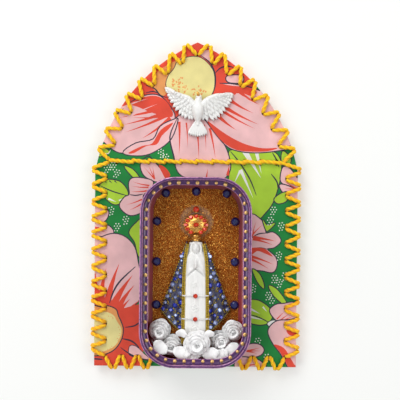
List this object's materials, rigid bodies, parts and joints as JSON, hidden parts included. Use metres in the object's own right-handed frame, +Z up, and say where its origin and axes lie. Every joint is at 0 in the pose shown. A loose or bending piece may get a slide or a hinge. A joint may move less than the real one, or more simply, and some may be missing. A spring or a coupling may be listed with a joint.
{
  "type": "tin nicho",
  "caption": "Wall-hung folk nicho: a round-cornered fish tin with a small cast figure, crown, stones and paper roses, on a pointed-arch board with printed cotton and yarn lacing.",
  "frame": {"origin": "centre of the flat back face that lies against the wall", "axes": "+Z up to the point of the arch, +X to the viewer's right, -Y out of the front"},
  "size_m": [0.1186, 0.0294, 0.1854],
  "materials": {
    "card": "matt",
    "printed_cotton": "matt woven cotton, floral print",
    "yarn": "twisted two-ply yarn",
    "glue": "dried craft glue",
    "crimson_enamel": "gloss",
    "purple_enamel": "gloss",
    "gold_paint": "metallic paint",
    "glitter": "copper-gold glitter",
    "blue_stone": "faceted, foil-backed",
    "blue_enamel": "dark blue with glitter",
    "white_resin": "cast resin, satin",
    "red_stone": "faceted, foil-backed",
    "clear_stone": "faceted, foil-backed",
    "gold_metal": "polished",
    "white_paper": "soft white"
  },
  "bodies": {
    "root": {"backing_board": "card", "cotton_cover": "printed_cotton", "edge_lacing": "yarn", "row_stitching": "yarn", "back_glue_dabs": "glue", "back_card": "card", "tin_glue_pad": "glue", "tin_body": "crimson_enamel", "lid_rim": "purple_enamel", "rim_dots": "gold_paint", "glitter_card": "glitter", "blue_stones": "blue_stone", "figure_glue": "glue", "mantle": "blue_enamel", "robe": "white_resin", "robe_cords": "white_resin", "robe_chatons": "red_stone", "mantle_trims": "gold_paint", "mantle_stones": "clear_stone", "shoulder_stones": "clear_stone", "head": "white_resin", "crown_band": "gold_metal", "crown_orb": "gold_metal", "crown_chatons": "red_stone", "crown_finial": "red_stone", "rose_left": "white_paper", "rose_lower_left": "white_paper", "rose_middle": "white_paper", "rose_lower_right": "white_paper", "rose_right": "white_paper", "dove_glue": "glue", "dove": "white_resin"}
  },
  "joints": []
}
